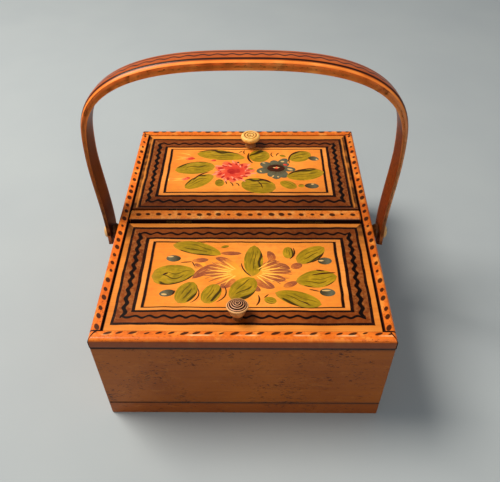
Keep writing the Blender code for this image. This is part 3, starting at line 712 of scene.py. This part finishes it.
# Dark lines: lamp black let down with varnish, for the hearts, stalks, tendrils and the shadows of leaves.
line_paint, add = new_material("lamp_black_oil_paint")
a, b, streak, blotch = along_stroke(add)
colour = add("ValToRGB", streak, stops=[(0.3, "#1D0C06"), (0.75, "#54260F")])
finish_material(colour, 0.36, streak, 0.03, **PAINT_COAT)
LINE = {"tip": 0.5, "cells": (14, 3)}
painted_group("front_dark_lines", line_paint, "front_lid", [
    (-14, -73.5, -18.5, -89, 0.9, {**LINE, "bend": 4.2}), (10.3, -82.5, 8.8, -92, 1.2, {**LINE, "bend": 1.6}),
    (-46.5, -51.8, -38, -51, 0.8, LINE), (-38, -51, -35.5, -56, 0.8, LINE),
    (-32.3, -76, -36, -89.5, 0.8, {**LINE, "bend": 3.2}),
    (-2, -52, 6, -65.5, 1.0, {**LINE, "bend": -1.8}), (36.5, -36.5, 33.5, -48, 1.2, {**LINE, "bend": 2.2}),
    (59, -41.5, 49, -51.5, 1.0, {**LINE, "bend": 1.4}), (48.5, -64, 66, -61.5, 1.3, {**LINE, "bend": 0.5}),
    (52, -59, 58, -60, 1.2, LINE), (46, -77.2, 53, -79.2, 0.8, LINE), (14.5, -85, 17.5, -82, 0.8, LINE),
    (-47.5, -78.5, -49.5, -82.5, 0.9, LINE), (-58, -63.8, -54.5, -62, 1.4, LINE),
    (40, -88, 46, -91.5, 0.8, LINE),
], 0.13)
painted_group("rear_dark_lines", line_paint, "rear_lid", [
    (18.3, 62.8, 34.2, 62.8, 10.5, {"tip": 0.5}),
    (-45.5, 45, -32.5, 57, 1.4, {**LINE, "bend": 2.2}), (-1.7, 90, -1.5, 84, 1.0, {**LINE, "bend": -1.0}),
    (-7, 86.3, -3.8, 88.5, 0.8, LINE), (23.5, 86.5, 24.5, 79.5, 0.9, {**LINE, "bend": -1.8}),
    (29.8, 86, 27, 81, 0.9, {**LINE, "bend": -0.8}), (-17.5, 44.5, -16.2, 40.3, 0.9, LINE),
    (-14, 43, -11, 37.3, 0.9, {**LINE, "bend": 1.0}), (-9, 42, -5.7, 37.3, 0.9, {**LINE, "bend": 1.0}),
    (-8, 70.5, -6.5, 72, 1.8, LINE), (38.5, 70, 46, 88, 1.4, {**LINE, "bend": 3.4}),
    (36, 52.5, 62, 62.5, 1.2, {**LINE, "bend": 2.8}),
    (2.5, 86, 6, 70, 1.8, {**LINE, "bend": -2.6}), (10.5, 47.5, 21.5, 42, 1.8, {**LINE, "bend": 1.0}),
    (-44, 88, -5, 83.5, 0.9, {**LINE, "bend": 2.6}), (9, 45, 14, 34.5, 0.9, {**LINE, "bend": 1.4}),
], 0.13)

# Last touches: lead white, yellowed by the varnish, on the buds and at the blue flower's heart.
white_paint, add = new_material("yellowed_lead_white_paint")
a, b, streak, blotch = along_stroke(add)
colour = add("ValToRGB", streak, stops=[(0.3, "#C79F58"), (0.7, "#E6C488")])
finish_material(colour, 0.36, streak, 0.03, **PAINT_COAT)
painted_group("front_pale_touches", white_paint, "front_lid", [
    (-56.5, -46, -52, -45.8, 1.2), (-57, -82, -53, -82.4, 1.5), (54.5, -49.8, 58.5, -49.6, 1.4),
    (54.5, -78.4, 61, -78.2, 1.2),
], 0.14)
painted_group("rear_pale_touches", white_paint, "rear_lid", [
    (23.6, 63.4, 29.4, 63.4, 4.4, {"tip": 0.45}), (36, 62, 41, 60, 2.0), (55.5, 40.3, 58, 40, 1.6),
    (62, 76, 64, 75.6, 1.8),
    (22.5, 50.2, 24.2, 52.4, 1.4), (27, 51.2, 28.6, 49.8, 1.4), (12, 59.4, 13.6, 57, 1.4),
    (30.5, 72.6, 34, 72.4, 1.8),
    (14, 71, 17, 70, 1.4),
], 0.14)
painted_group("rear_heart_touch", pink_paint, "rear_lid", [
    (25.0, 62.6, 28.2, 62.8, 2.6, ROUND), (26.2, 64.6, 27.6, 64.6, 1.2, ROUND),
], 0.20)


# ------------------------------------------------------------------ knobs
# Turned on a lathe and screwed through the lids: the front one of boxwood with fine rings cut in its
# domed head, the rear one of bone with a thick round rim.
def turned(name, profile, segments=64):
    """A form turned round +Z from (radius, height) steps in millimetres, standing at the origin.
    Its UV map holds radius and height in millimetres, so dirt and grooves follow the turning."""
    first_radius, first_height = profile[0]
    bpy.ops.mesh.primitive_circle_add(vertices=segments, radius=first_radius * MM, fill_type="NGON",
                                      location=(0, 0, first_height * MM))
    piece = bpy.context.object
    bpy.ops.object.transform_apply(location=True, rotation=True, scale=True)
    bpy.ops.object.mode_set(mode="EDIT")
    bpy.ops.mesh.select_all(action="SELECT")
    for (r0, z0), (r1, z1) in zip(profile, profile[1:]):
        bpy.ops.mesh.extrude_region_move(TRANSFORM_OT_translate={"value": (0, 0, (z1 - z0) * MM)})
        bpy.ops.transform.resize(value=(r1 / r0, r1 / r0, 1), center_override=(0, 0, 0))
    bpy.ops.mesh.select_all(action="SELECT")
    bpy.ops.mesh.normals_make_consistent(inside=False)
    bpy.ops.object.mode_set(mode="OBJECT")
    layer = piece.data.uv_layers.active or piece.data.uv_layers.new(name="turning")
    for loop in piece.data.loops:
        spot = piece.data.vertices[loop.vertex_index].co
        layer.data[loop.index].uv = (spot.xy.length / MM, spot.z / MM)
    bpy.ops.object.shade_smooth_by_angle(angle=math.radians(50))
    piece.name = name
    return piece


def rounded(centre_r, centre_z, radius, start, end, steps):
    """An arc of a turned profile, in degrees from straight out."""
    angles = [math.radians(start + (end - start) * k / steps) for k in range(steps + 1)]
    return [(centre_r + radius * math.cos(t), centre_z + radius * math.sin(t)) for t in angles]


def ringed_dome(radius, base, rise, rings, depth, steps=44):
    """The head of the front knob, from rim to centre, with grooves cut at the given radii."""
    points = []
    for k in range(steps + 1):
        r = radius + (0.12 - radius) * k / steps
        cut = sum(depth * math.exp(-((r - ring) / 0.24) ** 2) for ring in rings)
        points.append((r, base + rise * (1 - (r / radius) ** 2) - cut))
    return points


def seat(piece, body, node, place, tilt):
    """Puts a turned piece in its place, and lets it stand for its CAD node."""
    piece.data.transform(Matrix.Translation(place) @ Matrix.Rotation(tilt, 4, "X"))
    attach(piece, body)
    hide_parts(node)
    piece.select_set(False)


RING_STEP = 1.45                               # from one cut ring to the next, in millimetres
boxwood, add = new_material("turned_boxwood_with_dirt_in_the_rings")
radius, height, _ = add("SeparateXYZ", add("TexCoord").node.outputs["UV"]).node.outputs
here = add("TexCoord").node.outputs["Object"]
tone = stretched_noise(add, here, (3, 3, 3), 3.0)
colour = add("ValToRGB", tone, stops=[(0.30, "#B06E38"), (0.70, "#DA9C5A")])
ring = add("Math", radius, RING_STEP / 4, operation="ADD")
ring = add("Math", add("Math", ring, 2 * math.pi / RING_STEP, operation="MULTIPLY"), operation="SINE")
on_head = [add("MapRange", height, 9.2, 9.4), add("MapRange", radius, 6.8, 6.6)]
colour = laid_over(colour, "#200804", add("MapRange", ring, 0.78, 0.30), *on_head)
# Pale lines on the ridges between the grooves: painted sheen.
colour = laid_over(colour, "#F8BE98", add("MapRange", ring, 0.70, 0.96), *on_head, 0.85)
# The waist under the head is laid over with dark brown: painted shade.
neck_in_painted_shade = add("MapRange", apart(add, height, 7.9), 0.8, 0.2)
colour = laid_over(colour, "#4E230F", neck_in_painted_shade, 0.8)
rim = add("MapRange", radius, 6.5, 7.0)
colour = laid_over(colour, "#E2B27A", rim, add("MapRange", height, 8.2, 8.6), 0.7)
# The foot is laid over with dark brown where it meets the lid: painted shade.
foot_in_painted_shade = add("MapRange", height, 2.2, 0.9)
colour = laid_over(colour, "#4E230F", foot_in_painted_shade, 0.8)
finish_material(colour, 0.46, tone, 0.02, Coat_Weight=0.04, Coat_Roughness=0.3)

GROOVES = [RING_STEP * (k + 0.5) for k in range(4)]
cup = [(3.4, -1.8), (3.5, 0.6)] + rounded(1.4, 4.9, 4.1, -50, 38, 12)
waist = [(4.5, 7.4), (4.3, 7.6), (4.7, 7.85), (6.2, 8.1)]
ringed_head = rounded(6.9, 8.75, 0.62, -70, 80, 8) + [(6.55, 9.45)] + ringed_dome(6.2, 9.5, 2.1, GROOVES,
                                                                                  0.30)
front_knob = turned("turned_front_knob", cup + waist + ringed_head)
front_knob.data.materials.append(boxwood)
front_knob_place, front_knob_tilt = (-3.4 * MM, -101.5 * MM, LID_TOP + 0.9 * MM), math.radians(-10)
seat(front_knob, "front_lid", "front_knob", front_knob_place, front_knob_tilt)

bone_finish, add = new_material("turned_and_polished_bone")
radius, height, _ = add("SeparateXYZ", add("TexCoord").node.outputs["UV"]).node.outputs
here = add("TexCoord").node.outputs["Object"]
tone = stretched_noise(add, here, (2.5, 2.5, 7), 3.0)
colour = add("ValToRGB", tone, stops=[(0.30, "#E6AA50"), (0.70, "#FFD27C")])
for groove, strength in ((0.5, 0.8), (2.9, 0.9), (5.3, 0.95)):
    line = add("MapRange", apart(add, radius, groove), 0.75, 0.25)
    colour = laid_over(colour, "#8A4716", line, add("MapRange", height, 9.0, 10.0), strength)
# The stem under the head is laid over with brown: painted shade.
stem_in_painted_shade = add("MapRange", height, 7.4, 5.4)
colour = laid_over(colour, "#8A4E28", stem_in_painted_shade, 0.88)
finish_material(colour, 0.34, tone, 0.02, Coat_Weight=0.2, Coat_Roughness=0.2,
                Subsurface_Weight=0.08, Subsurface_Scale=1.5 * MM)

rear_head = rounded(6.4, 9.2, 2.4, -80, 88, 14)
dish = [(5.9, 11.45), (5.55, 11.15), (5.3, 11.05), (5.05, 11.15), (4.6, 11.4), (3.6, 11.45), (3.2, 11.3),
        (2.9, 11.15), (2.6, 11.25), (2.2, 11.35), (1.4, 11.2), (0.9, 10.9), (0.5, 10.65), (0.12, 10.6)]
rear_stem = [(5.1, 0.0), (5.2, 0.4), (5.0, 1.0), (4.3, 1.7), (3.85, 2.6), (3.7, 4.0), (3.9, 5.2), (4.4, 6.2),
             (5.4, 6.7)]
rear_knob = turned("turned_rear_knob", rear_stem + rear_head + dish)
rear_knob.data.materials.append(bone_finish)
seat(rear_knob, "rear_lid", "rear_knob", (3.6 * MM, 97.5 * MM, LID_TOP + 0.2 * MM), 0.0)


# ------------------------------------------------------------------ handle
# A flat ash strap, steamed and bent round a former, its arrises rubbed round. The outer face has a
# dark line, a wavy line and a dark line; the edges are bright orange and browner down the legs, with a
# painted highlight along the legs' inner arris. The inner face is dark brown, partly painted shade,
# and painted lighter on the right leg as painted light.
PIVOT = Vector((0.0, 0.0, 75.5 * MM))
LEAN = math.radians(9.9)
LEG_OUT, BOW_OUT, BOW_H, BOW_TOP, BOW_POWER = 111.8, 118.0, 80.0, 143.0, 2.68
STRAP_HALF_W, LEG_THICK, TOP_THICK = 12.0, 3.5, 6.8
STRAP_WAVE = 10.0                              # length of one wave of the painted line
leg_steps, arch_steps = 40, 90
outline = []
for k in range(leg_steps):
    part = k / leg_steps
    outline.append((LEG_OUT + (BOW_OUT - LEG_OUT) * part * part * (3 - 2 * part), BOW_H * part))
for k in range(arch_steps + 1):
    turn = math.pi / 2 * k / arch_steps
    outline.append((BOW_OUT * max(math.cos(turn), 0.0) ** (2 / BOW_POWER),
                    BOW_H + (BOW_TOP - BOW_H) * math.sin(turn) ** (2 / BOW_POWER)))
reach = [0.0]
for (x0, h0), (x1, h1) in zip(outline, outline[1:]):
    reach.append(reach[-1] + math.hypot(x1 - x0, h1 - h0))
HALF_LENGTH = reach[-1]


def along_bow(distance):
    """Place and outward direction on the right half of the bow, at a distance from its pivot in mm."""
    if distance <= 0:
        return (LEG_OUT, distance), (1.0, 0.0)
    k = next((j for j in range(1, len(reach)) if reach[j] >= distance), len(reach) - 1)
    share = (distance - reach[k - 1]) / max(reach[k] - reach[k - 1], 1e-9)
    (x0, h0), (x1, h1) = outline[k - 1], outline[k]
    lo, hi = outline[max(k - 3, 0)], outline[min(k + 2, len(outline) - 1)]
    run = Vector((hi[0] - lo[0], hi[1] - lo[1])).normalized()
    if k > len(outline) - 3:
        run = Vector((-1.0, 0.0))
    return (x0 + (x1 - x0) * share, h0 + (h1 - h0) * share), (run.y, -run.x)


bpy.ops.mesh.primitive_cube_add(size=1.0)
handle = bpy.context.object
handle.dimensions = (2 * (HALF_LENGTH + STRAP_HALF_W), 2 * STRAP_HALF_W, 1.0)
bpy.ops.object.transform_apply(location=True, rotation=True, scale=True)
bpy.ops.object.mode_set(mode="EDIT")
bpy.ops.mesh.select_all(action="DESELECT")
bpy.ops.object.mode_set(mode="OBJECT")
for edge in handle.data.edges:
    ends = [handle.data.vertices[k].co for k in edge.vertices]
    edge.select = abs(ends[0].x - ends[1].x) > 1.0
bpy.ops.object.mode_set(mode="EDIT")
bpy.ops.mesh.select_mode(type="EDGE")
bpy.ops.mesh.subdivide(number_cuts=239)
bpy.ops.mesh.select_all(action="DESELECT")
bpy.ops.object.mode_set(mode="OBJECT")
for edge in handle.data.edges:
    ends = [handle.data.vertices[k].co for k in edge.vertices]
    edge.select = abs(ends[0].y - ends[1].y) > 1.0
bpy.ops.object.mode_set(mode="EDIT")
bpy.ops.mesh.subdivide(number_cuts=15)
bpy.ops.object.mode_set(mode="OBJECT")
straight = handle.data.attributes.new("straight_strap", "FLOAT_VECTOR", "POINT")
for vertex in handle.data.vertices:
    s, w, t = vertex.co.x, vertex.co.y, 0.5 - vertex.co.z
    distance = HALF_LENGTH - abs(s)
    past = max(-distance, 0.0)
    w *= math.sqrt(max(1.0 - (past / STRAP_HALF_W) ** 2, 0.004))
    (x, h), outward = along_bow(distance)
    rise = min(max((h - BOW_H * 0.8) / (BOW_TOP - BOW_H * 0.8), 0.0), 1.0)
    thick = LEG_THICK + (TOP_THICK - LEG_THICK) * rise
    rounding = thick * (abs(w) / STRAP_HALF_W) ** 5
    outer_round = 0.70 if w < 0 else 0.22
    depth = thick * t + (outer_round * rounding if t < 0.5 else -0.08 * rounding)
    straight.data[vertex.index].vector = (s, w, t)
    flip = 1.0 if s >= 0 else -1.0
    vertex.co = (flip * (x - outward[0] * depth) * MM, w * MM, (h - outward[1] * depth) * MM)
handle.data.transform(Matrix.Translation(PIVOT) @ Matrix.Rotation(-LEAN, 4, "X"))
arris = handle.modifiers.new("rubbed_arris", "BEVEL")
arris.width = 0.8 * MM
arris.segments = 4
arris.limit_method = "ANGLE"
arris.angle_limit = math.radians(35)
bpy.ops.object.modifier_apply(modifier="rubbed_arris")
bpy.ops.object.mode_set(mode="EDIT")
bpy.ops.mesh.select_all(action="SELECT")
bpy.ops.mesh.normals_make_consistent(inside=False)
bpy.ops.object.mode_set(mode="OBJECT")
bpy.ops.object.shade_smooth_by_angle(angle=math.radians(60))
handle.name = "bentwood_handle"

strap_finish, add = new_material("orange_varnished_bent_ash")
strap = add("Attribute", attribute_name="straight_strap").node.outputs["Vector"]
s, w, t = add("SeparateXYZ", strap).node.outputs
lengthwise = add("VectorMath", strap, (1.0, 1.0, 5.0), operation="MULTIPLY")
spread = add("Mapping", lengthwise, ("Scale", (1 / 55, 1 / 1.3, 1 / 1.3)))
grain = add("TexNoise", spread, ("Scale", 1.0), ("Detail", 4.0))
cloud = add("TexNoise", lengthwise, ("Scale", 1 / 18), ("Detail", 3.0))
tone = add("Math", cloud, 0.55, add("Math", grain, 0.45, operation="MULTIPLY"), operation="MULTIPLY_ADD")
edge_orange = add("ValToRGB", tone, stops=[(0.30, "#E2762A"), (0.52, "#FA933E"), (0.70, "#FFB05A")])
face_red = add("ValToRGB", tone, stops=[(0.30, "#984115"), (0.70, "#C46529")])
# The inner face's dark brown is partly painted shade.
inner_brown = add("ValToRGB", tone, stops=[(0.30, "#4A1A04"), (0.70, "#6A2806")])
down_leg = add("MapRange", add("Math", s, operation="ABSOLUTE"), HALF_LENGTH - 115, HALF_LENGTH - 40)
edge_orange = laid_over(edge_orange, "#74300F", down_leg, 0.68)
# The right leg's inner face is painted lighter: painted light.
right_leg_painted_lit = add("MapRange", s, 40, 90)
inner_brown = laid_over(inner_brown, "#A4480F", right_leg_painted_lit, 0.75)
off_crown = add("Math", s, operation="ABSOLUTE")
# A pale stripe along the legs' arris, strongest on the right leg: painted highlight.
rubbed_wear_and_highlight = [add("MapRange", t, 0.34, 0.60), add("MapRange", w, -10.9, -11.5),
          add("Math", right_leg_painted_lit, 0.75, 0.15, operation="MULTIPLY_ADD"),
          add("MapRange", off_crown, HALF_LENGTH - 150, HALF_LENGTH - 110),
          add("MapRange", off_crown, HALF_LENGTH - 6, HALF_LENGTH - 22)]
outer = add("MapRange", t, 0.10, 0.03)
inner = add("MapRange", t, 0.92, 0.97)
flat_w = add("MapRange", add("Math", w, operation="ABSOLUTE"), 10.0, 9.6)
colour = laid_over(edge_orange, face_red, outer, flat_w)
colour = laid_over(colour, inner_brown, inner, flat_w)
colour = laid_over(colour, "#FFC088", *rubbed_wear_and_highlight, 0.9)
for centre, half in ((4.2, 0.8), (-8.5, 0.8)):
    line = add("MapRange", apart(add, w, centre), half * 1.2, half * 0.8)
    colour = laid_over(colour, "#2A0F08", line, outer)
ripple = add("Math", add("Math", s, 2 * math.pi / STRAP_WAVE, operation="MULTIPLY"), operation="SINE")
ripple = add("Math", ripple, 1.3, operation="MULTIPLY")
off = apart(add, add("Math", w, 2.6, operation="ADD"), ripple)
wave = add("MapRange", off, 1.35, 0.95)
colour = laid_over(colour, "#2A0F08", wave, outer)
dirt_spread = add("Mapping", lengthwise, ("Scale", (1 / 3.2, 1 / 1.2, 1 / 1.2)))
dirt = add("TexNoise", dirt_spread, ("Scale", 1.0), ("Detail", 2.0))
low_arris = add("MapRange", t, 0.45, 0.95)
marked = add("Math", low_arris, 0.16, dirt, operation="MULTIPLY_ADD")
colour = laid_over(colour, "#4A1B0B", add("MapRange", marked, 0.70, 0.75), 0.8)
finish_material(colour, 0.34, grain, 0.10, Coat_Weight=0.08, Coat_Roughness=0.15)
handle.data.materials.append(strap_finish)
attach(handle, "handle")
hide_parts("handle_bow")
handle.select_set(False)


# ------------------------------------------------------------------ handle pivots
# Turned bone buttons on a shank through each leg and side board, with a turned bone collar between
# leg and board, browned with dirt.
def pivot_button(hand, side):
    """A low dome with a ring cut round it and its shank, turned upright and then laid along X."""
    shank_length = 19.1
    profile = [(0.3, -shank_length), (2.3, -shank_length), (2.3, -0.02), (5.2, 0.0)]
    profile += rounded(5.2, 0.6, 0.6, -90, 20, 5)
    for k in range(12):
        share = k / 11
        r = 5.5 * (1 - share) + 0.12 * share
        cut = 0.22 * math.exp(-((r - 3.4) / 0.30) ** 2)
        profile.append((r, 0.9 + 2.7 * math.cos(math.asin(min(r / 5.8, 1.0))) - cut))
    button = turned(f"{hand}_turned_pivot_button", profile)
    place = Matrix.Translation((side * 112.1 * MM, 0, PIVOT.z))
    button.data.transform(place @ Matrix.Rotation(side * math.pi / 2, 4, "Y"))
    button.data.materials.append(bone_button)
    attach(button, "case")
    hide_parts(f"{hand}_pivot_button")
    button.select_set(False)


bone_button, add = new_material("turned_bone_button")
radius, height, _ = add("SeparateXYZ", add("TexCoord").node.outputs["UV"]).node.outputs
here = add("TexCoord").node.outputs["Object"]
tone = stretched_noise(add, here, (2.5, 2.5, 2.5), 3.0)
colour = add("ValToRGB", tone, stops=[(0.30, "#CF9A58"), (0.70, "#EBC68C")])
ring = add("MapRange", apart(add, radius, 3.4), 0.55, 0.15)
colour = laid_over(colour, "#7A4420", ring, 0.8)
finish_material(colour, 0.34, tone, 0.02, Coat_Weight=0.2, Coat_Roughness=0.2)
for hand, side in (("left", -1), ("right", 1)):
    pivot_button(hand, side)

bone_collar, add = new_material("turned_bone_collar_browned_with_dirt")
here = add("TexCoord").node.outputs["Object"]
tone = stretched_noise(add, here, (2.5, 2.5, 2.5), 3.0)
finish_material(add("ValToRGB", tone, stops=[(0.30, "#4A2812"), (0.70, "#6E4220")]), 0.36, tone, 0.02,
                Coat_Weight=0.2, Coat_Roughness=0.2)
for hand in ("left", "right"):
    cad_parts[f"{hand}_pivot_collar"].material_slots[0].material = bone_collar
